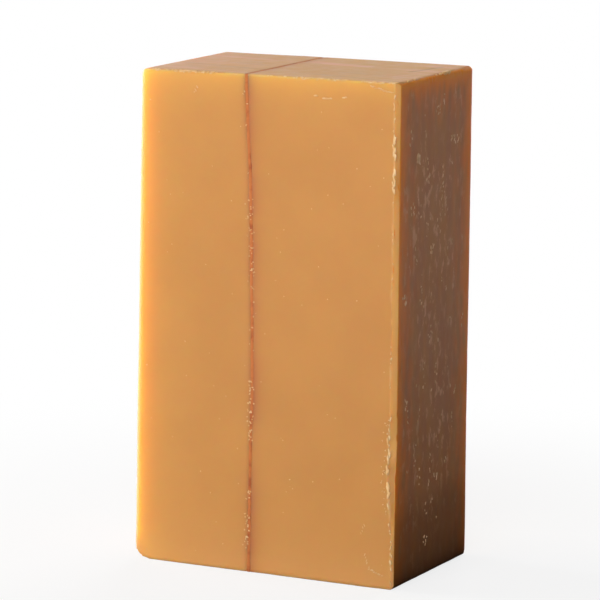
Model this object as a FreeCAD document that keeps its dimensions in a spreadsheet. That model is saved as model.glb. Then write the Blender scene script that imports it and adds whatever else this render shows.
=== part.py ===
import FreeCAD, Part
import os
import Sketcher

# A hand-cut bar of soap that stands on its small end. It was poured in two halves with a dusting of
# powder between them, so three layers lie side by side: the left pour, the powder line and the right pour.
# Millimetres. X runs left to right, the front face looks along -Y, Z is up, and the origin is in the
# middle of the base.

doc = FreeCAD.newDocument("soap_bar")

# Driving dimensions: alias, value in millimetres, meaning. The powder line's distance from the left side is
# given at guide points from below the base to above the top. They are evenly spaced, and the first and the
# last lie half a step outside the bar.
DIMENSIONS = (
    ("bar_width", 52.1, "left to right, at the base"),
    ("bar_depth", 31.4, "front to back"),
    ("bar_height", 90, "from the base to the middle of the top"),
    ("end_rise", 0.4, "how much higher the top is on the right, because it was cut a little askew"),
    ("left_lean", 1, "how far the left side leans inwards at the top"),
    ("right_lean", 0.3, "how far the right side leans inwards at the top"),
    ("front_right_bevel", 1.1, "planed edge between the front and the right side"),
    ("foot_left_round", 2.8, "worn edge between the base and the left side"),
    ("foot_right_round", 0.8, "worn edge between the base and the right side"),
    ("top_left_round", 1.5, "edge between the top and the left side"),
    ("top_right_round", 0.6, "edge between the top and the right side"),
    ("front_edge_round", 0.5, "edges around the front face, apart from the planed one"),
    ("back_edge_round", 0.4, "edges around the back face"),
    ("line_thickness", 0.7, "powder line, left to right"),
    ("line_from_left_1", 23.2, "left side of the base to the middle of the line, below the base"),
    ("line_from_left_2", 23.5, "the same, just above the base"),
    ("line_from_left_3", 23.5, "the same, a step further up, and so on"),
    ("line_from_left_4", 23.9, ""),
    ("line_from_left_5", 23.4, ""),
    ("line_from_left_6", 23.3, ""),
    ("line_from_left_7", 22.4, ""),
    ("line_from_left_8", 21.7, "the same, above the top"),
)
LINE_GUIDES = ["sizes." + alias for alias, _, _ in DIMENSIONS if alias.startswith("line_from_left")]
SPLINE_DEGREE = 3

# Outward directions of the bar's sides
FRONT = FreeCAD.Vector(0, -1, 0)
BACK = FreeCAD.Vector(0, 1, 0)
LEFT = FreeCAD.Vector(-1, 0, 0)
RIGHT = FreeCAD.Vector(1, 0, 0)
TOP = FreeCAD.Vector(0, 0, 1)
BASE = FreeCAD.Vector(0, 0, -1)


def fill_sheet():
    """Write every driving dimension into the document's sheet."""
    sheet = doc.addObject("Spreadsheet::Sheet", "sizes")
    for row, (alias, value, meaning) in enumerate(DIMENSIONS, start=1):
        sheet.set("A" + str(row), alias)
        sheet.set("B" + str(row), str(value))
        sheet.set("C" + str(row), meaning)
        sheet.setAlias("B" + str(row), alias)
    doc.recompute()


# Sketches, pads and eased edges

def new_sketch(body, name, role):
    """A sketch on one of the body's own origin planes: XZ_Plane for front views, XY_Plane for plans."""
    sketch = body.newObject("Sketcher::SketchObject", name)
    plane = next(feature for feature in body.Origin.OriginFeatures if feature.Role == role)
    sketch.AttachmentSupport = [(plane, "")]
    sketch.MapMode = "FlatFace"
    return sketch


def spot(sketch, place):
    """The point that a pair of expressions, across and up, gives in a sketch."""
    across, up = (sketch.evalExpression(expression) for expression in place)
    return FreeCAD.Vector(float(across), float(up), 0)


def pin_point(sketch, name, geometry, vertex, place):
    """Hold one point of a sketch at two distances from the origin, both bound to the sheet."""
    now = spot(sketch, place)
    for kind, distance, expression in zip(("DistanceX", "DistanceY"), (now.x, now.y), place):
        constraint_name = name + "_" + kind
        index = sketch.addConstraint(Sketcher.Constraint(kind, -1, 1, geometry, vertex, distance))
        sketch.renameConstraint(index, constraint_name)
        sketch.setExpression("Constraints." + constraint_name, expression)


def draw_corners(sketch, corners):
    """A closed outline of straight sides through named corners."""
    count = len(corners)
    spots = [spot(sketch, place) for _, place in corners]
    for index in range(count):
        sketch.addGeometry(Part.LineSegment(spots[index], spots[(index + 1) % count]), False)
    for index, (name, place) in enumerate(corners):
        sketch.addConstraint(Sketcher.Constraint("Coincident", (index - 1) % count, 2, index, 1))
        pin_point(sketch, name, index, 1, place)


def pad_evenly(body, sketch, name, depth):
    """Pad a front sketch by the same amount towards the front and the back."""
    pad = body.newObject("PartDesign::Pad", name)
    pad.Profile = sketch
    pad.SideType = "Symmetric"
    pad.setExpression("Length", depth)
    doc.recompute()


def side_edges(shape, direction):
    """The edges of the flat side that looks most nearly in one direction."""
    flats = [face for face in shape.Faces if isinstance(face.Surface, Part.Plane)]
    return max(flats, key=lambda face: face.normalAt(0, 0).dot(direction)).Edges


def is_in(edge, edges):
    """Whether an edge is one of a list of edges."""
    return any(edge.isSame(other) for other in edges)


def round_edges(body, name, edges, size_alias):
    """Round some edges of the body as it is so far, by one size of the sheet."""
    so_far = body.Tip
    names = ["Edge" + str(index) for index, edge in enumerate(so_far.Shape.Edges, start=1)
             if is_in(edge, edges)]
    fillet = body.newObject("PartDesign::Fillet", name)
    fillet.Base = (so_far, names)
    fillet.setExpression("Radius", "sizes." + size_alias)
    doc.recompute()


def corner_edge(body, first, second):
    """The edge where two sides of the body meet."""
    shape = body.Tip.Shape
    second_edges = side_edges(shape, second)
    return [edge for edge in side_edges(shape, first) if is_in(edge, second_edges)]


# The whole bar, before it is divided into layers

LEFT_HEIGHT = "sizes.bar_height - sizes.end_rise / 2"
RIGHT_HEIGHT = "sizes.bar_height + sizes.end_rise / 2"


def plane_front_right_edge(body):
    """Cut a flat bevel along the upright edge between the front and the right side."""
    outline = new_sketch(body, "planed_outline", "XY_Plane")
    corner_x = "sizes.bar_width / 2"
    corner_y = "-sizes.bar_depth / 2"
    bevel = "sizes.front_right_bevel"
    draw_corners(outline, (
        ("outside", (corner_x + " + " + bevel, corner_y + " - " + bevel)),
        ("past_side", (corner_x + " + " + bevel, corner_y + " + 2 * " + bevel)),
        ("past_front", (corner_x + " - 2 * " + bevel, corner_y + " - " + bevel)),
    ))
    pocket = body.newObject("PartDesign::Pocket", "planed_edge")
    pocket.Profile = outline
    pocket.Type = "ThroughAll"
    pocket.SideType = "Symmetric"
    doc.recompute()


def make_bar():
    """The bar's front outline padded to its depth, with every edge eased as on the real bar."""
    body = doc.addObject("PartDesign::Body", "whole_bar")
    outline = new_sketch(body, "bar_outline", "XZ_Plane")
    draw_corners(outline, (
        ("base_left", ("-sizes.bar_width / 2", "0")),
        ("base_right", ("sizes.bar_width / 2", "0")),
        ("top_right", ("sizes.bar_width / 2 - sizes.right_lean", RIGHT_HEIGHT)),
        ("top_left", ("sizes.left_lean - sizes.bar_width / 2", LEFT_HEIGHT)),
    ))
    pad_evenly(body, outline, "bar_pad", "sizes.bar_depth")

    for name, first, second in (("foot_left", BASE, LEFT), ("foot_right", BASE, RIGHT),
                                ("top_left", TOP, LEFT), ("top_right", TOP, RIGHT)):
        round_edges(body, name + "_edge", corner_edge(body, first, second), name + "_round")
    round_edges(body, "front_edges", side_edges(body.Tip.Shape, FRONT), "front_edge_round")
    round_edges(body, "back_edges", side_edges(body.Tip.Shape, BACK), "back_edge_round")
    plane_front_right_edge(body)
    return body


# The layers: each is the part of the bar that lies in its own region

GUIDE_STEP = "sizes.bar_height / " + str(len(LINE_GUIDES) - 2)


def guide_height(index):
    """Height of one guide point: half a step below the base, then a whole step each time."""
    return GUIDE_STEP + " * " + str(index - 0.5)


def straight_side(sketch, name, across):
    """An upright side of a region, well outside the bar."""
    places = [(across, guide_height(index)) for index in (0, len(LINE_GUIDES) - 1)]
    side = sketch.addGeometry(Part.LineSegment(*[spot(sketch, place) for place in places]), False)
    for vertex, place in enumerate(places, start=1):
        pin_point(sketch, name + "_" + str(vertex), side, vertex, place)
    return side


def line_side(sketch, name, from_middle):
    """One side of the powder line: a spline whose guide points are bound to the sheet."""
    places = [(guide + " - sizes.bar_width / 2 " + from_middle, guide_height(index))
              for index, guide in enumerate(LINE_GUIDES)]
    poles = [spot(sketch, place) for place in places]
    spans = len(poles) - SPLINE_DEGREE
    multiplicities = [SPLINE_DEGREE + 1] + [1] * (spans - 1) + [SPLINE_DEGREE + 1]
    curve = Part.BSplineCurve()
    curve.buildFromPolesMultsKnots(poles, multiplicities, list(range(spans + 1)), False, SPLINE_DEGREE)
    side = sketch.addGeometry(curve, False)
    for index, place in enumerate(places):
        marker = sketch.addGeometry(Part.Circle(poles[index], TOP, 1), True)
        sketch.addConstraint(Sketcher.Constraint(
            "InternalAlignment:Sketcher::BSplineControlPoint", marker, 3, side, index))
        sketch.addConstraint(Sketcher.Constraint("Weight", marker, 1))
        pin_point(sketch, name + "_" + str(index + 1), marker, 3, place)
    return side


def make_region(name, draw_left, left_place, draw_right, right_place):
    """A block that holds one layer: it passes the bar on every side where the layer has no neighbour."""
    body = doc.addObject("PartDesign::Body", name + "_region")
    outline = new_sketch(body, name + "_outline", "XZ_Plane")
    left = draw_left(outline, "left", left_place)
    right = draw_right(outline, "right", right_place)
    for vertex in (1, 2):
        ends = [outline.getPoint(side, vertex) for side in (left, right)]
        link = outline.addGeometry(Part.LineSegment(*ends), False)
        outline.addConstraint(Sketcher.Constraint("Coincident", link, 1, left, vertex))
        outline.addConstraint(Sketcher.Constraint("Coincident", link, 2, right, vertex))
    pad_evenly(body, outline, name + "_pad", "2 * sizes.bar_depth")
    return body


def make_layer(label, bar, region):
    """The part of the bar that lies in a region."""
    layer = doc.addObject("Part::Common", label)
    layer.Label = label
    layer.Base = bar
    layer.Tool = region
    return layer


fill_sheet()
whole_bar = make_bar()

OUTSIDE_LEFT = "-sizes.bar_width"
OUTSIDE_RIGHT = "sizes.bar_width"
LINE_LEFT = "- sizes.line_thickness / 2"
LINE_RIGHT = "+ sizes.line_thickness / 2"

layers = [
    make_layer("left_soap_layer", whole_bar,
               make_region("left", straight_side, OUTSIDE_LEFT, line_side, LINE_LEFT)),
    make_layer("powder_line", whole_bar,
               make_region("line", line_side, LINE_LEFT, line_side, LINE_RIGHT)),
    make_layer("right_soap_layer", whole_bar,
               make_region("right", line_side, LINE_RIGHT, straight_side, OUTSIDE_RIGHT)),
]
doc.recompute()

for item in doc.Objects:
    if "Invalid" in item.State or "Error" in item.State:
        raise RuntimeError(item.Name + " failed: " + ", ".join(item.State))
for layer in layers:
    if layer.Shape.isNull() or not layer.Shape.isValid() or len(layer.Shape.Solids) != 1:
        raise RuntimeError(layer.Label + " is not one sound solid")

os.makedirs("parts", exist_ok=True)
for layer in layers:
    layer.Shape.exportStep(os.path.join("parts", layer.Label + ".step"))
    print(layer.Label, "volume", round(layer.Shape.Volume), "mm3")
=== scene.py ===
# %% [markdown]
# A bar of amber soap, cut by hand.
# The bar stands on its small end. It was poured in two halves, with a dusting of red-brown powder
# between them, and later cut with a wire and planed along one edge. So there are three pieces to model:
# the soap left of the powder, the soap right of it, and the thin powder line. They take the place of
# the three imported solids, and loose crumbs of dry soap and flecks of ash are strewn over them.

# %% Load the frame
import bmesh
import bpy
import math
import random
from mathutils import Matrix, Vector, noise


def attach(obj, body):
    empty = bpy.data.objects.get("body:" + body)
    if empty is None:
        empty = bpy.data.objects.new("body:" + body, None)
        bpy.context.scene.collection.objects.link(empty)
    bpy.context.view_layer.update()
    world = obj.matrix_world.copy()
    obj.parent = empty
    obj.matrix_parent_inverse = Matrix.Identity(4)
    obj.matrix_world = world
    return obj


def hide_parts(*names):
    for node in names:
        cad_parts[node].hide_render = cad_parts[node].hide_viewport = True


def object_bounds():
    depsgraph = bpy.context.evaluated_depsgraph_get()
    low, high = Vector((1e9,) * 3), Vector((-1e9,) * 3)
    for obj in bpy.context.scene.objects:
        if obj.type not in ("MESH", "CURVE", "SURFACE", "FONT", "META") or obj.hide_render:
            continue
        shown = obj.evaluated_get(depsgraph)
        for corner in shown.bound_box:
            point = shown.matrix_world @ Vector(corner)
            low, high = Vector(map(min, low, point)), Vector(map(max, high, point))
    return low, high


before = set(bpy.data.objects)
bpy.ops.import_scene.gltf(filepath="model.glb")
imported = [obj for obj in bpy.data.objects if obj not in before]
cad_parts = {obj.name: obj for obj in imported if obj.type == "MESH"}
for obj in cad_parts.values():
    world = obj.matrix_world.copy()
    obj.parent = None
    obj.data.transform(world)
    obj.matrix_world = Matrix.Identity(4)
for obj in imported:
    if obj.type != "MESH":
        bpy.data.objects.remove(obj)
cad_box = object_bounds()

MM = 0.001
print("Box of the solids in mm:", [[round(c / MM, 2) for c in corner] for corner in cad_box])

# %% [markdown]
# Sizes.
# The new pieces stand for the solids, so they take the same sizes: the depth is read from the frame,
# and the others are written again here. A cut face of soap is never quite flat, so each face starts a
# little inside the solid's, which leaves room for ripples, dents and dry flakes.

# %% Sizes of the bar
FRONT_Y = cad_box[0].y
BACK_Y = cad_box[1].y
HALF_WIDTH = 26.05 * MM
BAR_HEIGHT = 90 * MM
END_RISE = 0.4 * MM
LEFT_LEAN = 1 * MM
RIGHT_LEAN = 0.3 * MM
RELIEF = 0.06 * MM


def top_height(x):
    """Height of the end cut above one place across the bar."""
    return BAR_HEIGHT + END_RISE * x / (2 * HALF_WIDTH)


def right_side(z):
    """Where the right side lies at one height."""
    return HALF_WIDTH - RIGHT_LEAN * z / BAR_HEIGHT


def left_side(z):
    """Where the left side lies at one height."""
    return -HALF_WIDTH + LEFT_LEAN * z / BAR_HEIGHT


print("Height at the left and the right, in mm:",
      [round(top_height(x) / MM, 2) for x in (-HALF_WIDTH, HALF_WIDTH)])

# %% The path of the powder line
LINE_FROM_LEFT = [distance * MM for distance in (23.2, 23.5, 23.5, 23.9, 23.4, 23.3, 22.4, 21.7)]
LINE_STEP = BAR_HEIGHT / (len(LINE_FROM_LEFT) - 2)
LINE_THICKNESS = 0.7 * MM
LINE_GUIDES = [2 * LINE_FROM_LEFT[0] - LINE_FROM_LEFT[1], *LINE_FROM_LEFT,
               2 * LINE_FROM_LEFT[-1] - LINE_FROM_LEFT[-2]]


def line_middle(z):
    """Where the powder line runs across the bar at one height: a smooth curve past its guide points."""
    along = z / LINE_STEP + 0.5
    first = int(along)
    t = along - first
    weights = ((1 - t) ** 3, 3 * t ** 3 - 6 * t ** 2 + 4, -3 * t ** 3 + 3 * t ** 2 + 3 * t + 1, t ** 3)
    return sum(w * g for w, g in zip(weights, LINE_GUIDES[first:first + 4])) / 6 - HALF_WIDTH


LINE_MIDDLE = sum(line_middle(step * LINE_STEP) for step in range(7)) / 7
LINE_WANDER = 0.08 * MM


def line_path(z):
    """The line's middle with the small wander that it has besides its long curve."""
    return line_middle(z) + LINE_WANDER * noise.noise(Vector((z / (6 * MM), 90.5, 0.5)))


print("Line at the base, middle and top, in mm:",
      [round(line_middle(z) / MM, 2) for z in (0, BAR_HEIGHT / 2, BAR_HEIGHT)])

# %% [markdown]
# The two halves of soap.
# A half is a plain block at first: a cube added at its size and place. Its top corners are pulled until
# the side leans and the end slopes, and then its edges are bevelled, each by its own width, because
# every edge of this bar is worn differently. A wire-cut block could also be made by bending a grid over
# its corners, but the cube keeps the flat faces truly flat.

# %% Block helpers
BEVEL_SEGMENTS = 4


def add_block(name, low, high):
    """A closed box between two corners, with its place in its mesh."""
    bpy.ops.object.select_all(action="DESELECT")
    bpy.ops.mesh.primitive_cube_add(size=1, location=(low + high) / 2, scale=high - low)
    block = bpy.context.object
    block.name = name
    bpy.ops.object.transform_apply(location=True, rotation=True, scale=True)
    return block


def pick(kind, test):
    """In edit mode, select only the vertices, edges or faces whose middle passes a test."""
    bpy.ops.mesh.select_mode(type=kind)
    bpy.ops.mesh.select_all(action="DESELECT")
    mesh = bmesh.from_edit_mesh(bpy.context.object.data)
    if kind == "VERT":
        found = [v for v in mesh.verts if test(v.co)]
    elif kind == "EDGE":
        found = [e for e in mesh.edges if test((e.verts[0].co + e.verts[1].co) / 2)]
    else:
        found = [f for f in mesh.faces if test(f.calc_center_median())]
    for part in found:
        part.select_set(True)
    mesh.select_flush(True)
    bmesh.update_edit_mesh(bpy.context.object.data)


def pull(test, x=0, z=0):
    """In edit mode, move the vertices that pass a test."""
    pick("VERT", test)
    bpy.ops.transform.translate(value=(x, 0, z))


def bevel_edges(test, width):
    """In edit mode, round the edges whose middle passes a test."""
    pick("EDGE", test)
    bpy.ops.mesh.bevel(offset=width, segments=BEVEL_SEGMENTS, affect="EDGES", clamp_overlap=False)


# %% Shape one half
FOOT_LEFT_ROUND = 2.8 * MM
FOOT_RIGHT_ROUND = 0.5 * MM
TOP_LEFT_ROUND = 1.1 * MM
TOP_RIGHT_ROUND = 0.6 * MM
LINE_GAP = 0.12 * MM
SMALL = 0.02 * MM
NEAR_CORNER = 1.5 * MM


def shape_half(name, left, foot_round, top_round):
    """One half of the bar, from its outer side to its side of the powder line."""
    if left:
        low_x, high_x = -HALF_WIDTH + RELIEF, LINE_MIDDLE - LINE_GAP
        outer, lean = low_x, LEFT_LEAN
    else:
        low_x, high_x = LINE_MIDDLE + LINE_GAP, HALF_WIDTH - RELIEF
        outer, lean = high_x, -RIGHT_LEAN
    top = BAR_HEIGHT - RELIEF
    half = add_block(name, Vector((low_x, FRONT_Y + RELIEF, 0)), Vector((high_x, BACK_Y - RELIEF, top)))

    def is_outer(place):
        return abs(place.x - outer) < NEAR_CORNER

    def is_top(place):
        return place.z > top - NEAR_CORNER

    bpy.ops.object.mode_set(mode="EDIT")
    for x in (low_x, high_x):
        pull(lambda p: is_top(p) and abs(p.x - x) < SMALL, z=top_height(x) - BAR_HEIGHT)
    pull(lambda p: is_top(p) and is_outer(p), x=lean)
    bevel_edges(lambda p: p.z < SMALL and is_outer(p), foot_round)
    bevel_edges(lambda p: is_top(p) and is_outer(p), top_round)
    bpy.ops.object.mode_set(mode="OBJECT")
    return half


left_soap = shape_half("left_soap", True, FOOT_LEFT_ROUND, TOP_LEFT_ROUND)
right_soap = shape_half("right_soap", False, FOOT_RIGHT_ROUND, TOP_RIGHT_ROUND)
for half in (left_soap, right_soap):
    print(half.name, "measures", [round(size / MM, 1) for size in half.dimensions], "mm")

# %% [markdown]
# An even mesh to sculpt on.
# Dents, chips and ripples under a millimetre need vertices closer together than that. Subdividing the
# cube would give long thin faces on the bevels, so a voxel remesh makes faces of one size all over.
# Only the strips along the edges and beside the powder are then subdivided once more, where the finest
# detail lies.

# %% Remesh and refine
VOXEL = 0.42 * MM
EDGE_STRIP = 2.2 * MM


def apply_modifier(piece, kind, **settings):
    """Add a modifier, set it up and apply it."""
    modifier = piece.modifiers.new(kind.title(), kind)
    for name, value in settings.items():
        setattr(modifier, name, value)
    bpy.context.view_layer.objects.active = piece
    bpy.ops.object.modifier_apply(modifier=modifier.name)


def depths(place):
    """How far a place lies inside each of the bar's sides, as they are before sculpting."""
    return {
        "front": place.y - FRONT_Y - RELIEF,
        "back": BACK_Y - RELIEF - place.y,
        "left": place.x - left_side(place.z) - RELIEF,
        "right": right_side(place.z) - RELIEF - place.x,
        "top": top_height(place.x) - RELIEF - place.z,
        "base": place.z,
    }


def in_fine_strip(place):
    """Whether a face lies where the eye meets fine detail: the front's edges and the line's."""
    deep = depths(place)
    beside_line = abs(place.x - LINE_MIDDLE)
    if deep["front"] < EDGE_STRIP and deep["right"] < EDGE_STRIP:
        return True
    if deep["front"] < EDGE_STRIP / 2 and (deep["top"] < EDGE_STRIP / 2 or deep["left"] < EDGE_STRIP / 3):
        return True
    if deep["top"] < EDGE_STRIP / 2 and deep["right"] < EDGE_STRIP / 2:
        return True
    return beside_line < EDGE_STRIP / 2 and min(deep["front"], deep["top"]) < EDGE_STRIP / 4


def refine(piece):
    """Even faces all over, with smaller ones in the fine strips."""
    apply_modifier(piece, "REMESH", mode="VOXEL", voxel_size=VOXEL)
    bpy.ops.object.mode_set(mode="EDIT")
    pick("FACE", in_fine_strip)
    bpy.ops.mesh.subdivide(number_cuts=1)
    bpy.ops.object.mode_set(mode="OBJECT")
    print(piece.name, "has", len(piece.data.polygons), "faces and", len(piece.data.vertices), "vertices")


for half in (left_soap, right_soap):
    refine(half)

# %% [markdown]
# Worn, planed and chipped edges.
# Each long edge of a hand-cut bar has its own wear. The front edge on the right was planed to a flat
# bevel of uneven width, with longer chips low down, and the others are only rubbed round. The vertices
# near an edge are moved in code, because the width changes all along it: a Bevel modifier keeps one
# width.

# %% Edge tools


def smooth_step(low, high, value):
    """0 below low, 1 above high and an easy curve between them."""
    t = min(max((value - low) / (high - low), 0), 1)
    return t * t * (3 - 2 * t)


def wave(along, step, seed):
    """A smooth random number from -1 to 1 that changes over a distance."""
    return noise.noise(Vector((along / step, seed + 0.5, 0.5)))


def patchy(along, step, seed, threshold):
    """0 along most of an edge, and up to 1 on scattered stretches of it."""
    return smooth_step(threshold, threshold + 0.25, wave(along, step, seed))


INWARD = {"front": Vector((0, 1, 0)), "back": Vector((0, -1, 0)), "left": Vector((1, 0, 0)),
          "right": Vector((-1, 0, 0)), "top": Vector((0, 0, -1)), "base": Vector((0, 0, 1))}


def plane_off(place, first, second, first_width, second_width):
    """Where a place ends up once a flat bevel is cut between two sides, with a width on each of them."""
    deep = depths(place)
    too_far = 1 - deep[first] / second_width - deep[second] / first_width
    if too_far <= 0:
        return place
    slope = INWARD[first] / second_width + INWARD[second] / first_width
    return place + slope * (too_far / slope.length_squared)


def rub_round(place, first, second, radius):
    """Where a place ends up once the edge between two sides is rubbed to a radius."""
    deep = depths(place)
    u, v = deep[first] - radius, deep[second] - radius
    if u >= 0 or v >= 0:
        return place
    reach = math.hypot(u, v)
    if reach <= radius:
        return place
    shrink = radius / reach - 1
    return place + INWARD[first] * (u * shrink) + INWARD[second] * (v * shrink)


# %% Wear of every edge
PLANED_WIDTH = 0.72 * MM
PLANED_SIDE = 1.0 * MM
PLANED_FOOT = 0.4 * MM
TOP_RIGHT_WORN = 0.45 * MM
RUBBED_EDGES = (("front", "top", 0.3), ("front", "base", 0.2), ("front", "left", 0.4),
                ("back", "top", 0.2), ("back", "base", 0.4), ("back", "left", 0.5), ("back", "right", 0.2))
CHIPPED_FROM = 14 * MM
CHIPPED_TO = 30 * MM


def planed_width(z):
    """Width of the planed bevel at one height, on the front face."""
    plain = PLANED_FOOT + (PLANED_WIDTH - PLANED_FOOT) * smooth_step(8 * MM, 15 * MM, z)
    chipped = (z - CHIPPED_FROM) / (CHIPPED_TO - CHIPPED_FROM)
    low_chips = smooth_step(0, 0.2, chipped) * smooth_step(1, 0.8, chipped)
    chips = 0.12 * patchy(z, 1.3 * MM, 11, 0.1) + low_chips * (0.25 + 0.25 * patchy(z, 2.1 * MM, 12, 0))
    wider_low = 0.25 * (1 - smooth_step(45 * MM, 70 * MM, z))
    return plain * (1 + 0.13 * wave(z, 7 * MM, 10) + 0.05 * wave(z, 1.1 * MM, 13) + chips + wider_low)


def planed_side(z):
    """Width of the planed bevel at one height, on the skin."""
    plain = PLANED_FOOT + (PLANED_SIDE - PLANED_FOOT) * smooth_step(18 * MM, 28 * MM, z)
    return plain * (1 + 0.15 * wave(z, 6 * MM, 14))


def edge_round(along, seed, radius):
    """Radius of a rubbed edge, with a few soft nicks."""
    return radius * (1 + 0.35 * wave(along, 5 * MM, seed) + 0.5 * patchy(along, 2.4 * MM, seed + 5, 0.25))


def corner_round(place):
    """How much more the front edge on the left is rubbed near the top corner."""
    return 0.3 * MM * (1 - smooth_step(0, 3 * MM, depths(place)["top"]))


def wear_edges(place):
    """Where a place ends up once every edge near it is worn."""
    for seed, (first, second, radius) in enumerate(RUBBED_EDGES, 20):
        along = place.x if second in ("top", "base") else place.z
        worn = edge_round(along, seed, radius * MM)
        if (first, second) == ("front", "left"):
            worn += corner_round(place)
        place = rub_round(place, first, second, worn)
    worn = edge_round(place.y, 27, TOP_RIGHT_WORN)
    place = plane_off(place, "top", "right", worn, worn)
    return plane_off(place, "front", "right", planed_width(place.z), planed_side(place.z))


def sculpt(piece, change):
    """Move every vertex to where a function of its place and normal puts it."""
    mesh = piece.data
    places = [change(vertex.co.copy(), vertex.normal.copy()) for vertex in mesh.vertices]
    mesh.vertices.foreach_set("co", [number for place in places for number in place])
    mesh.update()


for half in (left_soap, right_soap):
    sculpt(half, lambda place, normal: wear_edges(place))
print("The planed edge is wide, at 20, 50 and 80 mm up,",
      [round(planed_width(height * MM) / MM, 2) for height in (20, 50, 80)], "mm")

# %% [markdown]
# Faces: wire-cut, cured and skinned.
# The front, back and ends were cut with a wire and only ripple a little. The left and right sides are
# the outer skin of the poured loaf: they have upright streaks, low lumps and shallow pits. Both are
# built from smooth noise, stretched along the streaks, and every move is small enough to stay under the
# solid's faces.

# %% Ripples and streaks


def stretched(place, across, up, seed):
    """Noise whose blobs are stretched upwards."""
    return noise.noise(Vector((place.x / across + seed, place.y / across, place.z / up)))


def skin_height(place):
    """Height of the loaf's skin: streaks, lumps and pits."""
    streaks = 0.5 * stretched(place, 0.9 * MM, 9 * MM, 30) + 0.5 * stretched(place, 2.2 * MM, 16 * MM, 31)
    lumps = stretched(place, 4 * MM, 9 * MM, 32)
    pits = smooth_step(0.35, 0.6, stretched(place, 0.8 * MM, 2.2 * MM, 33))
    return (0.03 * streaks + 0.05 * lumps - 0.08 * pits) * MM


def cut_height(place):
    """Height of a wire-cut face: long low ripples."""
    broad = stretched(place, 11 * MM, 16 * MM, 34)
    fine = stretched(place, 2.5 * MM, 4 * MM, 35)
    return (0.04 * broad + 0.008 * fine) * MM


def path_distance(across, along, points):
    """Distance from a place on a face to a line through a few points."""
    place = Vector((across, along))
    nearest = math.inf
    for start, end in zip(points, points[1:]):
        run = end - start
        t = min(max((place - start).dot(run) / run.length_squared, 0), 1)
        nearest = min(nearest, (place - start - run * t).length)
    return nearest


WIRE_MARK = [Vector(point) * MM for point in ((20.0, 1.0), (21.0, 4.5), (21.2, 7.5), (21.8, 10.5))]
WIRE_MARK_WIDTH = 0.6 * MM


def wire_mark(place):
    """1 in the dent that the wire left on the top, 0 away from it."""
    if depths(place)["top"] > 0.5 * MM:
        return 0
    wander = 0.25 * MM * wave(place.y, 1.5 * MM, 70)
    return 1 - smooth_step(0, WIRE_MARK_WIDTH, path_distance(place.x + wander, place.y, WIRE_MARK))


def shape_faces(place, normal):
    """Where a vertex ends up once the faces have their ripples."""
    if abs(place.x - LINE_MIDDLE) < LINE_GAP + SMALL or place.z < SMALL:
        return place
    skin = smooth_step(0.5, 0.9, abs(normal.x))
    height = skin * skin_height(place) + (1 - skin) * cut_height(place)
    return place + normal * (height - 0.08 * MM * wire_mark(place))


def follow_line(place, normal):
    """Shift a half near the powder so that its side follows the line's path, with a ragged lip."""
    beside = abs(place.x - LINE_MIDDLE) - LINE_GAP
    bend = (line_path(place.z) - LINE_MIDDLE) * (1 - smooth_step(0, 9 * MM, beside))
    side = 1 if place.x > LINE_MIDDLE else -1
    on_top = depths(place)["top"] < 0.3 * MM
    along = place.y if on_top else place.z
    lip = 0.5 * wave(along, 1.1 * MM, 40 + side) + 0.5 * wave(along, 4 * MM, 44 + side)
    width = max((-0.05 if on_top else 0) + 0.16 * lip, -0.08)
    ragged = width * MM * (1 - smooth_step(0, 0.8 * MM, beside))
    return place + Vector((bend + side * ragged, 0, 0))


for half in (left_soap, right_soap):
    sculpt(half, shape_faces)
    sculpt(half, follow_line)
    bpy.context.view_layer.objects.active = half
    half.select_set(True)
    bpy.ops.object.shade_smooth()
    across = [vertex.co.y / MM for vertex in half.data.vertices]
    print(half.name, "reaches from y", round(min(across), 2), "to", round(max(across), 2), "mm")

# %% [markdown]
# The powder line.
# The powder is a sheet of coarse red-brown grains set in a little soap. Where the sheet reaches a face
# it is rough and lies a touch below the soap. It is a thin block, remeshed finely and roughened at its
# rim.

# %% Make the powder sheet
SHEET_VOXEL = 0.26 * MM
RECESS = 0.01 * MM


def shape_sheet():
    """The powder sheet, bent along the line's path."""
    half_sheet = LINE_THICKNESS / 2
    low = Vector((LINE_MIDDLE - half_sheet, FRONT_Y + RELIEF + RECESS, 0))
    high = Vector((LINE_MIDDLE + half_sheet, BACK_Y - RELIEF - RECESS,
                   top_height(LINE_MIDDLE) - RELIEF - RECESS))
    sheet = add_block("powder_sheet", low, high)
    apply_modifier(sheet, "REMESH", mode="VOXEL", voxel_size=SHEET_VOXEL)
    return sheet


def roughen_sheet(place, normal):
    """Where a vertex of the sheet ends up: on the line's path, with grains at its rim."""
    rim = 1 - abs(normal.x)
    grains = noise.noise(place / (0.5 * MM)) * 0.05 * MM * rim
    keep_up = 0 if place.z < SMALL else 1
    return place + normal * grains * keep_up + Vector((line_path(place.z) - LINE_MIDDLE, 0, 0))


powder_sheet = shape_sheet()
sculpt(powder_sheet, roughen_sheet)
print("powder_sheet has", len(powder_sheet.data.polygons), "faces")

# %% [markdown]
# Dry crumbs and flakes.
# Cutting and planing leave crumbs of soap that dry pale: along the planed edge, on the ridge above the
# front face, beside the powder line and in upright rows on the skin. One crumb is modelled, a cube that
# is subdivided and pushed about, and then it is copied to each place with its own size and turn.
# Particles could strew them as well, but a loop says exactly where each one lies.

# %% Model one crumb
CRUMB_RANDOM = random.Random(4)


def make_crumb():
    """A ragged lump of two dozen faces, one unit across."""
    crumb = add_block("crumb", Vector((-0.5, -0.5, -0.5)), Vector((0.5, 0.5, 0.5)))
    bpy.ops.object.mode_set(mode="EDIT")
    bpy.ops.mesh.select_all(action="SELECT")
    bpy.ops.mesh.subdivide(number_cuts=1, smoothness=0.6)
    bpy.ops.object.mode_set(mode="OBJECT")
    for vertex in crumb.data.vertices:
        vertex.co *= 0.75 + CRUMB_RANDOM.random() * 0.4
    return crumb


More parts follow.
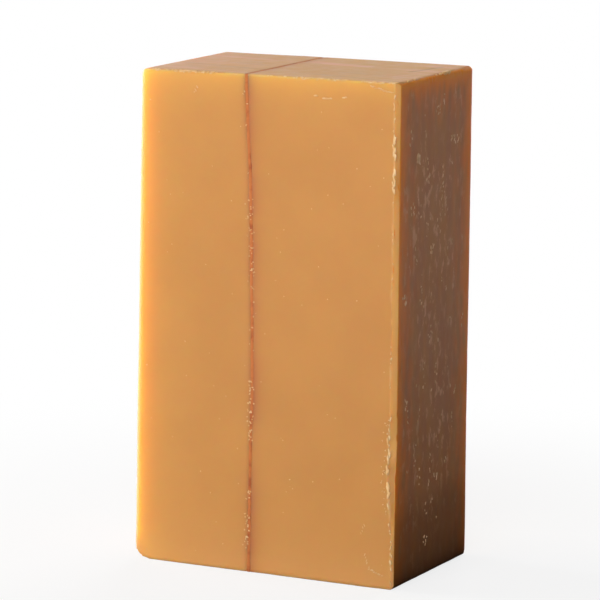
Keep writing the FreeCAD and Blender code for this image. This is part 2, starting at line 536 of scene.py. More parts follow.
def drop_crumb(crumb, place, normal, size, turn):
    """Copy the crumb to a place: its size is along, across and out of the face, turned on the face."""
    copy = bpy.data.objects.new("crumb", crumb.data.copy())
    bpy.context.scene.collection.objects.link(copy)
    facing = Vector(normal).to_track_quat("Z", "Y").to_matrix().to_4x4()
    copy.matrix_world = (Matrix.Translation(place) @ facing @ Matrix.Rotation(turn, 4, "Z")
                         @ Matrix.Diagonal((*size, 1)))
    return copy


def press_inside(place, normal):
    """Press a crumb flat against the bar, so that it stands no prouder than the solid's faces."""
    z = min(max(place.z, 0), top_height(place.x))
    return Vector((min(max(place.x, left_side(z)), right_side(z)), max(place.y, FRONT_Y), z))


def join_crumbs(name, copies):
    """Make one piece of all the copies, with its place in its mesh."""
    bpy.ops.object.select_all(action="DESELECT")
    for copy in copies:
        copy.select_set(True)
    bpy.context.view_layer.objects.active = copies[0]
    bpy.ops.object.join()
    piece = bpy.context.object
    piece.name = name
    bpy.ops.object.transform_apply(location=True, rotation=True, scale=True)
    sculpt(piece, press_inside)
    bpy.ops.object.shade_smooth()
    print(name, "holds", len(copies), "crumbs and", len(piece.data.polygons), "faces")
    return piece


# %% Strew crumbs on the front
FRONT = (0, -1, 0)
QUARTER = math.pi / 2
crumb = make_crumb()
print("One crumb has", len(crumb.data.polygons), "faces")
crumbs = []


def near(middle, reach):
    """A random number around a middle."""
    return middle + CRUMB_RANDOM.uniform(-reach, reach)


def on_front(x, z, long, wide, turn, thick=0.12):
    """A crumb on the front face: place in metres, sizes in millimetres. A quarter turn stands it up."""
    place = Vector((x, FRONT_Y + RELIEF + 0.01 * MM, z))
    crumbs.append(drop_crumb(crumb, place, FRONT, (long * MM, wide * MM, thick * MM), turn))


def along_front(start, end, count, long, wide):
    """A scratched row of slivers between two places on the front, given in millimetres."""
    turn = math.atan2(end[1] - start[1], end[0] - start[0])
    for step in range(count):
        t = near((step + 0.5) / count, 0.3 / count)
        x, z = (near(a + (b - a) * t, 0.12) * MM for a, b in zip(start, end))
        on_front(x, z, near(long, long / 2), wide, -turn)


# Stretches of the line with crumbs, in millimetres: from, to, how many, their size, and how far aside.
LINE_CRUMBS = ((70, 88, 5, 0.24, -0.1), (51, 68, 46, 0.2, -0.12), (36, 50, 6, 0.2, 0.1),
               (24, 35, 42, 0.24, -0.3), (4, 15, 28, 0.27, -0.5))
for low, high, count, size, aside in LINE_CRUMBS:
    for _ in range(count):
        z = CRUMB_RANDOM.uniform(low, high) * MM
        x = line_path(z) + CRUMB_RANDOM.gauss(aside, 0.35) * MM
        on_front(x, z, near(size, 0.08), near(size * 0.7, 0.05), near(0, math.pi))

for _ in range(70):
    x = CRUMB_RANDOM.uniform(-24, 24) * MM
    z = CRUMB_RANDOM.uniform(1.5, 88) * MM
    on_front(x, z, near(0.17, 0.06), near(0.13, 0.04), near(0, math.pi), 0.1)

# Scratched rows, in millimetres: from, to, how many slivers, their length and their width.
SCRATCHES = (((9.5, 86.9), (10.1, 86.8), 2, 0.5, 0.2), ((11.1, 86.6), (12.6, 86.5), 3, 0.6, 0.22),
             ((14.8, 87.0), (15.8, 87.0), 2, 0.4, 0.2), ((20.2, 89.3), (24.6, 88.3), 15, 0.45, 0.12),
             ((20.3, 6.0), (21.2, 3.6), 5, 0.35, 0.14), ((21.0, 3.4), (24.0, 2.4), 8, 0.4, 0.18),
             ((19.5, 9.5), (20.2, 11.5), 4, 0.3, 0.14), ((-14.5, 86.0), (-13.6, 87.2), 3, 0.4, 0.2))
for scratch in SCRATCHES:
    along_front(*scratch)
print(len(crumbs), "crumbs lie on the front face")

# %% Flakes along the planed edge and the top ridge


def planed_rim(z):
    """Where the planed bevel begins on the front face."""
    return right_side(z) - RELIEF - planed_width(z)


def flakes_beside_bevel(low, high, count, long, wide):
    """Upright flakes along the planed edge's left rim, between two heights in millimetres."""
    for _ in range(count):
        z = CRUMB_RANDOM.uniform(low, high) * MM
        x = planed_rim(z) + CRUMB_RANDOM.gauss(-0.02, 0.10) * MM
        on_front(x, z, near(long, long / 2), near(wide, wide / 3), QUARTER + near(0, 0.35))


for flakes in ((83, 88, 6, 0.5, 0.18), (77, 82, 13, 0.8, 0.26), (71, 75.5, 11, 0.8, 0.24),
               (34, 70, 15, 0.4, 0.14), (26, 32, 9, 0.6, 0.2), (14, 25, 15, 0.8, 0.3),
               (1, 13, 14, 0.45, 0.2)):
    flakes_beside_bevel(*flakes)
for _ in range(26):
    z = CRUMB_RANDOM.uniform(13, 31) * MM
    on_front(planed_rim(z) - near(0.7, 0.6) * MM, z, near(0.25, 0.1), near(0.15, 0.05), near(0, math.pi))


def ridge_flakes(low, high, count, size):
    """Flakes on the ridge above the front face, between two places across the bar, in millimetres."""
    for _ in range(count):
        x = CRUMB_RANDOM.uniform(low, high) * MM
        z = top_height(x) - RELIEF - near(0.16, 0.14) * MM
        long, wide = near(size, size / 2) * MM, near(size * 0.45, 0.05) * MM
        place = Vector((x, FRONT_Y + RELIEF + near(0.12, 0.06) * MM, z))
        crumbs.append(drop_crumb(crumb, place, (0, -0.7, 0.7), (long, wide, 0.12 * MM), near(0, 0.4)))


for flakes in ((-23, -19, 12, 0.5), (-19, -10.5, 34, 0.55), (-10, 3, 12, 0.35), (3, 16, 36, 0.5),
               (17, 24.8, 20, 0.5)):
    ridge_flakes(*flakes)

# %% Chips at the top right


def top_right_chips(low, high, count, size):
    """Chips on the edge between the top and the skin, between two depths in millimetres."""
    for _ in range(count):
        y = CRUMB_RANDOM.uniform(low, high) * MM
        x = right_side(BAR_HEIGHT) - RELIEF - near(0.2, 0.1) * MM
        place = Vector((x, y, top_height(x) - RELIEF - near(0.15, 0.1) * MM))
        chip = (near(size, size / 2) * MM, near(size, size / 3) * MM, 0.2 * MM)
        crumbs.append(drop_crumb(crumb, place, (0.3, -0.6, 0.75), chip, near(0, math.pi)))


top_right_chips(1.5, 6, 12, 0.55)
top_right_chips(-12, 13, 5, 0.3)
for _ in range(7):
    x = near(24.75, 0.3) * MM
    z = top_height(x) - RELIEF - near(0.1, 0.06) * MM
    chip = (near(0.5, 0.2) * MM, 0.35 * MM, 0.12 * MM)
    place = Vector((x, FRONT_Y + RELIEF + near(0.3, 0.15) * MM, z))
    crumbs.append(drop_crumb(crumb, place, (0, -0.3, 0.9), chip, near(0, 1)))
print(len(crumbs), "crumbs, flakes and chips in all")

# %% Flecks of ash on the skin
ash_crumbs = []


def on_side(y, z, long, wide, side=1):
    """An upright fleck on the right side, or on the left with side -1; sizes in millimetres."""
    x = right_side(z) - RELIEF if side > 0 else left_side(z) + RELIEF
    size = (long * MM, wide * MM, 0.09 * MM)
    ash_crumbs.append(drop_crumb(crumb, Vector((x, y, z)), (side, 0, 0), size, QUARTER + near(0, 0.7)))


def fleck_rows(side, rows):
    """Upright rows of tiny flecks, strewn over a side."""
    for _ in range(rows):
        y = CRUMB_RANDOM.triangular(-13.5, 13.5, -1) * MM
        z = CRUMB_RANDOM.uniform(5, 86) * MM
        for _ in range(CRUMB_RANDOM.randint(1, 5)):
            z += near(0.9, 0.5) * MM
            if z < 88.5 * MM:
                on_side(y + CRUMB_RANDOM.gauss(0, 0.4) * MM, z, near(0.4, 0.22), near(0.24, 0.1), side)


fleck_rows(1, 55)
fleck_rows(-1, 35)
for y, z, count, reach, size in ((-7.1, 75.8, 12, 0.45, 0.9), (-0.9, 59.3, 9, 0.8, 0.45),
                                 (1.1, 84.1, 10, 1.2, 0.35), (1.7, 17.5, 8, 0.9, 0.5),
                                 (-2.2, 6.3, 6, 0.8, 0.4), (8.9, 31.9, 8, 1.2, 0.4),
                                 (-9.2, 67.2, 7, 0.8, 0.4), (7.3, 59.2, 5, 0.5, 0.4),
                                 (-12.4, 51.6, 7, 0.9, 0.5)):
    for _ in range(count):
        y_here, z_here = near(y, reach) * MM, near(z, reach * 1.2) * MM
        on_side(y_here, z_here, near(size, size / 3), near(size * 0.45, 0.05))

dry_crumbs = join_crumbs("dry_crumbs", crumbs)
ash_flecks = join_crumbs("ash_flecks", ash_crumbs)
bpy.data.objects.remove(crumb)

# %% [markdown]
# Amber soap.
# Light goes into this soap and comes out again a few millimetres away. That is why the lit edges glow
# and the shaded side stays warm. The shader's subsurface part does part of this, and the rest is painted
# light and shade in the colour: glowing rims and skin edges, and a darker foot on the shaded side. How
# deep the light goes, and where the soap is pale, brown or red, depends on the distance from an edge,
# so it is painted on the vertices as masks. Finer patterns come from noise in real distances, read from
# Object coordinates.

# %% Material helpers


def new_material(name):
    """A material with a Principled shader, ready for its pattern nodes."""
    material = bpy.data.materials.new(name)
    material.use_nodes = True
    return material


def set_inputs(material, node, inputs):
    """Give a node's inputs their values, or links from other nodes."""
    for name, value in inputs.items():
        if isinstance(value, bpy.types.NodeSocket):
            material.node_tree.links.new(value, node.inputs[name])
        else:
            node.inputs[name].default_value = value


def set_shader(material, inputs):
    """Set up the material's Principled shader."""
    shader = material.node_tree.nodes["Principled BSDF"]
    set_inputs(material, shader, inputs)
    return shader


def add_node(material, kind, inputs=None, **settings):
    """Add a node, set its options and its input values or links."""
    node = material.node_tree.nodes.new("ShaderNode" + kind)
    for name, value in settings.items():
        setattr(node, name, value)
    set_inputs(material, node, inputs or {})
    return node


def places_of(material, stretch=(1, 1, 1)):
    """Object coordinates in metres, stretched or not."""
    coordinates = add_node(material, "TexCoord").outputs["Object"]
    if stretch == (1, 1, 1):
        return coordinates
    return add_node(material, "Mapping", {"Vector": coordinates, "Scale": stretch}).outputs["Vector"]


def spread(material, value, low, high, to_low=0.0, to_high=1.0):
    """Turn the values from low to high into another range, with an easy curve at both ends."""
    node = add_node(material, "MapRange", {"Value": value, "From Min": low, "From Max": high,
                                           "To Min": to_low, "To Max": to_high},
                    interpolation_type="SMOOTHSTEP")
    return node.outputs["Result"]


def multiply(material, first, second):
    """The product of two values."""
    return add_node(material, "Math", {0: first, 1: second}, operation="MULTIPLY").outputs["Value"]


def blend_colours(material, amount, first, second):
    """A mix of two colours."""
    node = add_node(material, "Mix", {0: amount, 6: first, 7: second}, data_type="RGBA")
    return node.outputs[2]


def noise_of(material, places, size, detail=2.0, roughness=0.5):
    """Smooth noise whose blobs are about one size."""
    return add_node(material, "TexNoise", {"Vector": places, "Scale": 1 / size, "Detail": detail,
                                           "Roughness": roughness}).outputs["Fac"]


def painted(material, name):
    """A value painted on the mesh's vertices."""
    return add_node(material, "Attribute", attribute_name=name).outputs["Fac"]


def tinted(material, colour, tints):
    """Lay other colours over a colour, each where its own mask is painted."""
    for mask, tint in tints:
        colour = blend_colours(material, painted(material, mask), colour, tint)
    return colour


def bumped(material, height, strength, distance):
    """Normals that follow a relief too fine to model."""
    return add_node(material, "Bump", {"Height": height, "Strength": strength,
                                       "Distance": distance}).outputs["Normal"]


# %% Colours of soap
AMBER = (0.67, 0.320, 0.089, 1)
AMBER_DEEP = (0.64, 0.300, 0.083, 1)
RIM_LIGHT_AMBER = (0.90, 0.475, 0.105, 1)
# Partly painted light: the planed bevel is paler than the lamps alone would show it.
PLANED_AND_LIT_AMBER = (0.93, 0.485, 0.155, 1)
DRY_PALE = (0.86, 0.56, 0.26, 1)
SKIN_BROWN = (0.54, 0.222, 0.104, 1)
# Painted light: the orange and red glow on the skin beside its edges.
PAINTED_ORANGE_GLOW = (0.95, 0.36, 0.045, 1)
PAINTED_RED_GLOW = (0.92, 0.20, 0.05, 1)
ASH = (0.82, 0.43, 0.24, 1)
# Painted shade at the foot of the shaded side.
PAINTED_SHADE_BROWN = (0.08, 0.028, 0.007, 1)
# Partly painted shade: the powder's staining beside the line.
STAIN_AND_SHADE = (0.49, 0.145, 0.065, 1)
# Partly painted light: smears, and the glow and sheen of the top and the front's foot.
SMEAR_AND_LIGHT = (0.80, 0.37, 0.24, 1)
DENT_BROWN = (0.40, 0.18, 0.08, 1)
SOAP_GLOW = (1.0, 0.58, 0.27)
GLOW_DEPTH = 12 * MM
LEAST_GLOW = 0.7 * MM

# %% Soap material


def make_soap():
    """Translucent soap with glowing rims, planed edge, skin, ash, smears and the powder's staining. The
    glow at the rims and skin edges is painted light, the darker foot of the shaded skin is painted shade,
    the planed edge and smears are partly painted light, and the staining is partly painted shade.
    """
    soap = new_material("amber_soap")
    places = places_of(soap)
    streaky = places_of(soap, (1, 1, 0.18))

    mottle = noise_of(soap, places, 12 * MM, 3)
    colour = blend_colours(soap, spread(soap, mottle, 0.3, 0.7), AMBER_DEEP, AMBER)
    # Painted light: the lit edges, the foot and the top beside the front and the left glow paler.
    colour = tinted(soap, colour, [("rim", RIM_LIGHT_AMBER)])

    skin = painted(soap, "skin")
    streaks = noise_of(soap, streaky, 2.4 * MM, 2, 0.5)
    # Skin brown, stronger on the shaded right side, which is partly painted shade.
    colour = blend_colours(soap, multiply(soap, skin, spread(soap, streaks, 0.3, 0.7, 0.65, 1)),
                           colour, SKIN_BROWN)
    # Painted light: the skin glows red and orange beside its edges, where light comes through the corners.
    colour = tinted(soap, colour, [("red_glow", PAINTED_RED_GLOW), ("orange_glow", PAINTED_ORANGE_GLOW)])
    scuffs = noise_of(soap, places_of(soap, (1, 1, 0.45)), 1.3 * MM, 5, 0.65)
    broad = noise_of(soap, places_of(soap, (1, 1, 0.5)), 6 * MM, 2)
    haze = multiply(soap, spread(soap, scuffs, 0.53, 0.62, 0.03, 0.75),
                    spread(soap, broad, 0.4, 0.6, 0.2, 1))
    colour = blend_colours(soap, multiply(soap, haze, skin), colour, ASH)
    # Painted shade darkens the foot of the shaded skin; the planed bevel and the smears are partly painted
    # light, and the stain beside the line partly painted shade.
    colour = tinted(soap, colour, [("foot_shade", PAINTED_SHADE_BROWN), ("planed", PLANED_AND_LIT_AMBER), ("dry", DRY_PALE),
                                   ("smear_and_light", SMEAR_AND_LIGHT), ("dent", DENT_BROWN), ("stain_and_shade", STAIN_AND_SHADE)])

    depth = spread(soap, painted(soap, "glow"), 0, 1, LEAST_GLOW, GLOW_DEPTH)
    rough = spread(soap, noise_of(soap, places, 3 * MM, 4), 0.3, 0.7, 0.42, 0.52)
    grain = noise_of(soap, places, 0.35 * MM, 3, 0.6)
    fibres = multiply(soap, multiply(soap, scuffs, skin), 0.4)
    relief = add_node(soap, "Math", {0: multiply(soap, grain, 0.2), 1: fibres}, operation="ADD")
    set_shader(soap, {"Base Color": colour, "Subsurface Weight": 1.0, "Subsurface Radius": SOAP_GLOW,
                      "Subsurface Scale": depth, "IOR": 1.45, "Specular IOR Level": 0.36,
                      "Roughness": rough, "Normal": bumped(soap, relief.outputs[0], 0.3, 0.05 * MM)})
    print(soap.name, "has", len(soap.node_tree.nodes), "nodes")
    return soap


# %% [markdown]
# Where each look lies.
# A mask is one number on each vertex. Each mask below is worked out from the vertex's place, mostly
# from its distance to the edges, and from the way it faces. A mask could also be brushed on by hand,
# but a formula can be read, and it follows the shape when a size changes.

# %% Paint values on the vertices
FACING = 0.7


def paint(piece, name, amount):
    """Keep a value on every vertex, worked out from its place and normal."""
    values = [amount(vertex.co, vertex.normal) for vertex in piece.data.vertices]
    layer = piece.data.attributes.new(name, "FLOAT", "POINT")
    layer.data.foreach_set("value", values)


# %% Skin, and painted shade at its foot
FOOT_SHADE_HEIGHT = 18 * MM


def skin_and_shade_amount(place, normal):
    """1 on the loaf's outer skin, 0 on cut faces, and less near the edges, where the soap shows.
    It is stronger on the shaded right side than on the lit left, partly as painted shade.
    """
    if abs(place.x) < HALF_WIDTH / 2:
        return 0
    deep = depths(place)
    from_edge = min(deep["front"], deep["back"], deep["top"])
    # Partly painted shade: the shaded right side is browner than the lit left.
    strength = 1 if place.x > 0 else 0.55
    return strength * smooth_step(0.75, 0.95, abs(normal.x)) * smooth_step(0.8 * MM, 4 * MM, from_edge)


def foot_shade_amount(place, normal):
    """Painted shade: the skin on the shaded side darkens towards its foot, where the bar stands on its
    end.
    """
    if normal.x < 0.6 or place.x < HALF_WIDTH / 2:
        return 0
    edge = FOOT_SHADE_HEIGHT * (1 + 0.25 * wave(place.y, 5 * MM, 95))
    return 0.32 * (1 - smooth_step(0.6 * edge, edge, place.z)) + 0.66 * math.exp(-place.z / (4 * MM))


# %% Painted light that comes through the edges
RIM_LIGHT_REACH = 3.0 * MM
TOP_RIM_LIGHT_REACH = 2.8 * MM
ORANGE_GLOW_REACH = 1.3 * MM
RED_GLOW_REACH = 2.3 * MM


def painted_rim_light(place, normal):
    """Painted light: how much an edge glows pale, about 1 at the lit edges of the bar, fading inwards."""
    deep = depths(place)
    if abs(normal.x) > FACING:
        return 0
    from_left = max(deep["left"], 0)
    if normal.z > FACING:
        front_rim_light = 0.3 * math.exp(-max(deep["front"], 0) / (1.2 * MM))
        return front_rim_light + 0.15 * math.exp(-from_left / (5 * MM))
    # Painted light: the left rim glows more at the foot, and the foot itself is brightened as if lit from
    # the floor.
    foot = 2.2 - 1.2 * smooth_step(0, 9 * MM, place.z)
    left_rim_light = (0.52 * foot * math.exp(-from_left / RIM_LIGHT_REACH)
                + 0.2 * math.exp(-from_left / (3 * RIM_LIGHT_REACH)))
    foot_rim_light = 0.22 * math.exp(-place.z / (12 * MM)) + 0.32 * math.exp(-place.z / (4 * MM))
    return left_rim_light + foot_rim_light + 0.75 * math.exp(-max(deep["top"], 0) / TOP_RIM_LIGHT_REACH)


def glow_amount(place, normal):
    """How deep light goes: deep beside the edges that shine through, shallow on the faces."""
    deep = {side: max(distance, 0) for side, distance in depths(place).items()}
    if abs(normal.z) > FACING:
        return 0.3 * math.exp(-deep["left"] / (4 * MM))
    if abs(normal.x) > FACING:
        return 0.35 * math.exp(-min(deep["front"], deep["top"], deep["back"] + 1 * MM) / (1.2 * MM))
    if deep["right"] < 2 * MM:
        return 0
    off_foot = smooth_step(-1 * MM, 7 * MM, place.z)
    return max(off_foot * math.exp(-deep["left"] / (7 * MM)), 0.5 * math.exp(-deep["top"] / (4 * MM)))


def from_lit_edge(place, normal):
    """Uneven distance on the skin from the edges that light comes through, endless off the skin."""
    if abs(normal.x) < FACING or abs(place.x) < HALF_WIDTH / 2:
        return math.inf
    deep = depths(place)
    uneven = 1 + 0.9 * stretched(place, 1.2 * MM, 4 * MM, 62)
    return max(min(deep["front"] - PLANED_SIDE, deep["top"] - 1 * MM, deep["back"]), 0) / uneven


def orange_glow_amount(place, normal):
    """Painted light: how far the skin glows orange right beside its edges, where light comes through the
    corner.
    """
    distance = from_lit_edge(place, normal)
    strength = (0.7 * math.exp(-distance / ORANGE_GLOW_REACH)
                + 0.14 * math.exp(-distance / (3 * ORANGE_GLOW_REACH)))
    return strength * (1 if place.x > 0 else 0.4)


def red_glow_amount(place, normal):
    """Painted light: how far the skin reddens a little deeper in, as only red light comes through that
    much soap.
    """
    return (1.2 if place.x > 0 else 0.15) * math.exp(-from_lit_edge(place, normal) / RED_GLOW_REACH)


# %% The planed edge and dry stretches


def planed_and_lit_amount(place, normal):
    """1 on the planed bevel at the front right. Its paler colour is partly the fresh cut and partly
    painted light, since the lamps reach the bevel only at a slant.
    """
    if place.x < HALF_WIDTH / 2 or place.y > 0:
        return 0
    return smooth_step(0.4, 0.58, min(normal.x, -normal.y))


def dry_amount(place, normal):
    """Pale dried soap: the planed edge's left rim, and stretches of the top's front and right edges."""
    deep = depths(place)
    if place.x > HALF_WIDTH / 2 and deep["front"] < 1.5 * MM and deep["right"] < 2.5 * MM:
        width = planed_width(place.z)
        offset = abs(deep["right"] - deep["front"] - width - 0.06 * MM * wave(place.z, 0.8 * MM, 63))
        strength = 0.2 + 0.8 * wave(place.z, 2.8 * MM, 64) + 0.3 * wave(place.z, 11 * MM, 65)
        return min(max(strength, 0.06), 0.75) * (1 - smooth_step(0.05 * MM, 0.36 * MM, offset))
    if deep["front"] < 0.7 * MM and deep["top"] < 0.8 * MM:
        strength = 0.25 + 0.5 * wave(place.x, 4 * MM, 66) + 0.3 * wave(place.x, 1 * MM, 67)
        ridge = 1 - smooth_step(0.12 * MM, 0.42 * MM, deep["front"] + deep["top"])
        return min(max(strength, 0), 0.8) * ridge
    if deep["right"] < 0.7 * MM and deep["top"] < 0.8 * MM:
        strength = patchy(place.y, 1.6 * MM, 68, 0.05)
        return 0.5 * strength * (1 - smooth_step(0.2 * MM, 0.6 * MM, deep["right"] + deep["top"]))
    return 0


# %% Smears, dents and the powder's staining, with painted light and shade
SMEAR_PATH = [Vector(point) * MM for point in ((-1.5, 7.5), (4.0, 5.5), (9.5, 5.0))]
STAIN_AND_SHADE_REACH = 1.0 * MM


def smear_and_light_amount(place, normal):
    """Dull soap: rubbed edges on the left and back and smears along the cut on top. Also painted light:
    a paler front foot, a warmer left end of the top, and the top's pink tone, which stands partly for its
    sheen.
    """
    if normal.z < FACING:
        deep = depths(place)
        rubbed = min(deep["left"] + deep["front"], deep["back"] + min(deep["left"], deep["right"]))
        # Painted light: the front's foot is paler, as if lit from the floor.
        foot = 0.22 * math.exp(-place.z / (5 * MM)) if normal.y < -0.5 else 0
        return max(foot, 0.85 * (1 - smooth_step(0.3 * MM, 1.0 * MM, rubbed)))
    bands = wave(place.y + 0.12 * place.x, 1.1 * MM, 80) + 0.8 * wave(place.x, 7 * MM, 81)
    patch = 1 - smooth_step(0.8 * MM, 1.9 * MM, path_distance(place.x, place.y, SMEAR_PATH))
    # Painted light: the top glows warmer towards its lit left end.
    left_end_glow = 0.6 * math.exp(-max(depths(place)["left"], 0) / (8 * MM))
    return min(0.4 * smooth_step(0.05, 0.9, bands) + 0.5 * patch + left_end_glow, 1)


def dent_amount(place, normal):
    """Brown in the dent that the wire left on the top, and faintly where it dragged."""
    if normal.z < 0.5:
        return 0
    dragged = wave(place.y + 0.2 * place.x, 1.4 * MM, 82) + 0.7 * wave(place.x, 9 * MM, 83)
    return max(0.7 * wire_mark(place), 0.22 * smooth_step(0.1, 0.8, dragged))


def stain_and_shade_amount(place, normal):
    """How much of the powder shows through the soap beside the line, and painted shade where the line
    keeps the light from the left off the soap, so mostly to its right.
    """
    offset = place.x - line_path(place.z)
    if abs(offset) > 6 * MM:
        return 0
    # Painted shade reaches further on the right of the line, away from the light.
    strength, reach = (1, STAIN_AND_SHADE_REACH) if offset > 0 else (0.8, STAIN_AND_SHADE_REACH / 2)
    patches = 0.85 + 0.6 * wave(place.z, 8 * MM, 60) + 0.3 * wave(place.z, 2.2 * MM, 61)
    return strength * min(max(patches, 0.45), 1) * math.exp(-max(abs(offset) - LINE_GAP, 0) / reach)


# %% Dress the halves
MASKS = {"skin": skin_and_shade_amount, "rim": painted_rim_light, "orange_glow": orange_glow_amount, "red_glow": red_glow_amount,
         "glow": glow_amount, "foot_shade": foot_shade_amount, "planed": planed_and_lit_amount, "dry": dry_amount,
         "smear_and_light": smear_and_light_amount, "dent": dent_amount, "stain_and_shade": stain_and_shade_amount}
amber_soap = make_soap()
for half in (left_soap, right_soap):
    for name, amount in MASKS.items():
        paint(half, name, amount)
    half.data.materials.append(amber_soap)
    print(half.name, "carries", len(MASKS), "masks:", ", ".join(MASKS))

# %% [markdown]
# Powder, dry soap and ash.
# The powder is matt and darker where it is packed. Crumbs of dried soap and flecks of ash let hardly
# any light in, so both are plain rough colours: pale amber for the crumbs, and a duller pink-brown for
# the ash.

# %% Powder material
POWDER_DARK = (0.42, 0.100, 0.032, 1)
POWDER_WARM = (0.62, 0.19, 0.055, 1)


def make_powder():
    """Coarse red-brown powder, darker where it is packed and warmer where soap covers it."""
    powder = new_material("red_brown_powder")
    places = places_of(powder)
    packed = spread(powder, noise_of(powder, places, 2.2 * MM, 4, 0.6), 0.3, 0.55)
    grains = noise_of(powder, places, 0.2 * MM, 3)
    set_shader(powder, {"Base Color": blend_colours(powder, packed, POWDER_DARK, POWDER_WARM),
                        "Roughness": 0.8, "Specular IOR Level": 0.2,
                        "Normal": bumped(powder, grains, 0.6, 0.05 * MM)})
    return powder


powder_sheet.data.materials.append(make_powder())
bpy.context.view_layer.objects.active = powder_sheet
powder_sheet.select_set(True)
bpy.ops.object.shade_smooth()

# %% Dry soap material
CRUMB_PALE = (0.86, 0.58, 0.30, 1)
CRUMB_WARM = (0.78, 0.44, 0.17, 1)
FLECK_PALE = (0.88, 0.57, 0.34, 1)
FLECK_WARM = (0.68, 0.39, 0.20, 1)


def make_dry_soap(name, pale, warm):
    """Dried soap: rough and nearly opaque, paler in some crumbs than in others."""
    dry = new_material(name)
    places = places_of(dry)
    patches = spread(dry, noise_of(dry, places, 1.3 * MM, 3), 0.35, 0.65)
    grains = noise_of(dry, places, 0.1 * MM, 2)
    set_shader(dry, {"Base Color": blend_colours(dry, patches, warm, pale),
                     "Roughness": 0.7, "Specular IOR Level": 0.3,
                     "Normal": bumped(dry, grains, 0.4, 0.02 * MM)})
    return dry


for piece, name, pale, warm in ((dry_crumbs, "dry_soap", CRUMB_PALE, CRUMB_WARM),
                                (ash_flecks, "soda_ash", FLECK_PALE, FLECK_WARM)):
    piece.data.materials.clear()
    piece.data.materials.append(make_dry_soap(name, pale, warm))
    print(piece.name, "are made of", name)

# %% [markdown]
# Tie the pieces to the frame.
# Nothing moves on this bar, so every piece rides on its one body. The two halves and the sheet take the
# place of the solids, which are then not shown. The crumbs and flecks have no solid of their own.

# %% Tie the pieces to the frame
for piece, node, slot in ((left_soap, "left_soap_layer", "amber_soap"),
                          (powder_sheet, "powder_line", "powdered_soap"),
                          (right_soap, "right_soap_layer", "amber_soap")):
    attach(piece, "root")
    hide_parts(node)
for piece in (dry_crumbs, ash_flecks):
    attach(piece, "root")

# %% [markdown]
# Studio.
# The bar stands on a pale floor in front of white. A large softbox on the left is the main light,
# another behind lights the back and the top, and a broad one fills the front. Nothing shines from the
# right, so that side is in soft shade.

# %% Floor and backdrop
PAPER = (0.86, 0.86, 0.86, 1)
PAPER_BOUNCE = (0.5, 0.5, 0.5, 1)
CARD_BOUNCE = (0.01, 0.01, 0.01, 1)
CARD_MIDDLE = (0.085, 0.01, 0)
CARD_DARK = 0.065
CARD_EDGE = 0.16
WHITE_FROM = 0.05
WHITE_AT = 0.16
LEAST_WHITE = 0.78
FLOOR_HALF = 3.0


def make_floor():
    """A wide pale floor that turns white away from the bar. On its right it throws no light back."""
    bpy.ops.object.select_all(action="DESELECT")
    bpy.ops.mesh.primitive_plane_add(size=2 * FLOOR_HALF, location=(0, 0, 0))
    floor = bpy.context.object
    floor.name = "floor"
    paper = new_material("floor_paper")
    white = add_node(paper, "Emission", {"Color": (1, 1, 1, 1), "Strength": 1.0})
    distance = add_node(paper, "VectorMath", {0: places_of(paper)}, operation="LENGTH").outputs["Value"]
    far = spread(paper, distance, WHITE_FROM, WHITE_AT, LEAST_WHITE, 1.0)
    seen = add_node(paper, "LightPath").outputs["Is Camera Ray"]
    from_card = add_node(paper, "VectorMath", {0: places_of(paper), 1: CARD_MIDDLE}, operation="DISTANCE")
    beyond = spread(paper, from_card.outputs["Value"], CARD_DARK, CARD_EDGE)
    bounce = blend_colours(paper, beyond, CARD_BOUNCE, PAPER_BOUNCE)
    shader = set_shader(paper, {"Base Color": blend_colours(paper, seen, bounce, PAPER), "Roughness": 1.0,
                                "Specular IOR Level": 0.0})
    mix = add_node(paper, "MixShader", {0: multiply(paper, seen, far), 1: shader.outputs[0],
                                        2: white.outputs[0]})
    set_inputs(paper, paper.node_tree.nodes["Material Output"], {"Surface": mix.outputs[0]})
    floor.data.materials.append(paper)
    print("The floor is", floor.dimensions.x, "m wide")


make_floor()

# %% World
AMBIENT_LEFT = 0.25
AMBIENT_RIGHT = 0.10
BACKDROP_SHEEN = 1.0
ROOM_SHEEN = 0.1


def make_world():
    """White to the camera. Otherwise a low soft light, with a pale backdrop and a dim room to reflect."""
    world = bpy.data.worlds.new("studio")
    world.use_nodes = True
    bpy.context.scene.world = world

    def world_node(kind, *inputs, **settings):
        return add_node(world, kind, dict(enumerate(inputs)), **settings)

    direction = world_node("SeparateXYZ", world_node("TexCoord").outputs["Generated"])
    across, towards_back = direction.outputs["X"], direction.outputs["Y"]
    ambient = world_node("MapRange", across, -0.6, 0.6, AMBIENT_LEFT, AMBIENT_RIGHT).outputs[0]
    from_back = world_node("MapRange", towards_back, -0.1, 0.6, 0, 1).outputs[0]
    from_left = world_node("MapRange", across, 0.3, -0.2, 0, 1).outputs[0]
    both = multiply(world, from_back, from_left)
    reflected_level = world_node("MapRange", both, 0, 1, ROOM_SHEEN, BACKDROP_SHEEN).outputs[0]
    path = world_node("LightPath").outputs
    soft = world_node("Background", (1, 1, 1, 1), ambient)
    sheen = world_node("Background", (1, 1, 1, 1), reflected_level)
    white = world_node("Background", (1, 1, 1, 1), 1.0)
    reflected = world_node("MixShader", path["Is Glossy Ray"], soft.outputs[0], sheen.outputs[0])
    clear = world_node("Math", path["Is Camera Ray"], path["Is Transmission Ray"], operation="MAXIMUM")
    seen = world_node("MixShader", clear.outputs[0], reflected.outputs[0], white.outputs[0])
    set_inputs(world, world.node_tree.nodes["World Output"], {"Surface": seen.outputs[0]})
    print(world.name, "has", len(world.node_tree.nodes), "nodes")


make_world()

# %% Softboxes


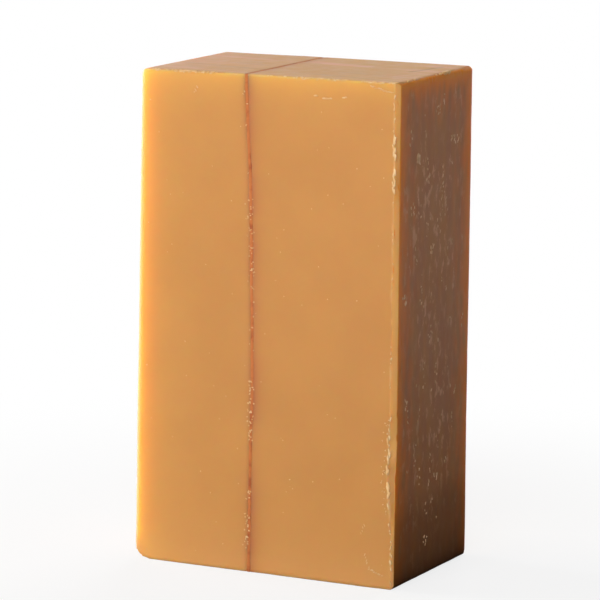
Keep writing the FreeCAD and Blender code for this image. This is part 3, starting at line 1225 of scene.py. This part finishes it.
def add_softbox(name, place, width, height, level, reflected=True):
    """A rectangular light that faces the bar and gives a level of light there, where 1 is full."""
    middle = Vector((0, 0, BAR_HEIGHT / 2))
    place = Vector(place)
    lamp = bpy.data.lights.new(name, "AREA")
    lamp.shape = "RECTANGLE"
    lamp.size = width
    lamp.size_y = height
    distance = (middle - place).length
    lamp.energy = level * math.pi ** 2 * distance ** 2
    softbox = bpy.data.objects.new(name, lamp)
    bpy.context.scene.collection.objects.link(softbox)
    softbox.location = place
    softbox.visible_glossy = reflected
    softbox.rotation_euler = (middle - place).to_track_quat("-Z", "Y").to_euler()
    print(name, "shines with", round(lamp.energy, 1), "W from", round(distance, 2), "m away")


add_softbox("key_left", (-0.85, -0.05, 0.16), 0.5, 0.6, 1.35)
add_softbox("back_fill", (-0.05, 0.85, 0.30), 0.6, 0.6, 0.8, reflected=False)
add_softbox("front_fill", (0.10, -0.90, 0.36), 0.8, 0.8, 0.87)

# %% [markdown]
# Camera.
# The bar's long edges stay almost parallel in the picture, so it was seen through a long lens from some
# way off. The angles, the small roll and the distance were fitted to the bar's edges.

# %% Camera
LENS = 240
SENSOR_WIDTH = 36
CAMERA_AZIMUTH = math.radians(26.374)
CAMERA_ELEVATION = math.radians(9.87)
CAMERA_ROLL = math.radians(0.649)
CAMERA_DISTANCE = 0.7240
AIM_RIGHT = -0.6 * MM
AIM_UP = 2.45 * MM


def make_camera():
    """A long lens at the photograph's angle, a little above the bar and to its right."""
    right = Vector((math.cos(CAMERA_AZIMUTH), math.sin(CAMERA_AZIMUTH), 0))
    back = Vector((math.sin(CAMERA_AZIMUTH) * math.cos(CAMERA_ELEVATION),
                   -math.cos(CAMERA_AZIMUTH) * math.cos(CAMERA_ELEVATION), math.sin(CAMERA_ELEVATION)))
    up = back.cross(right)
    tilted_right = right * math.cos(CAMERA_ROLL) + up * math.sin(CAMERA_ROLL)
    tilted_up = up * math.cos(CAMERA_ROLL) - right * math.sin(CAMERA_ROLL)
    camera = bpy.data.cameras.new("camera")
    camera.lens = LENS
    camera.sensor_width = SENSOR_WIDTH
    camera.clip_start = 0.05
    camera.clip_end = 20
    stand = bpy.data.objects.new("camera", camera)
    bpy.context.scene.collection.objects.link(stand)
    middle = Vector((0, 0, BAR_HEIGHT / 2)) + tilted_right * AIM_RIGHT + tilted_up * AIM_UP
    place = middle + back * CAMERA_DISTANCE
    turn = Matrix((tilted_right, tilted_up, back)).transposed().to_4x4()
    stand.matrix_world = Matrix.Translation(place) @ turn
    bpy.context.scene.camera = stand
    print("The camera stands", round(CAMERA_DISTANCE / MM), "mm from the bar's middle")


make_camera()
bpy.context.scene.view_settings.view_transform = "Standard"
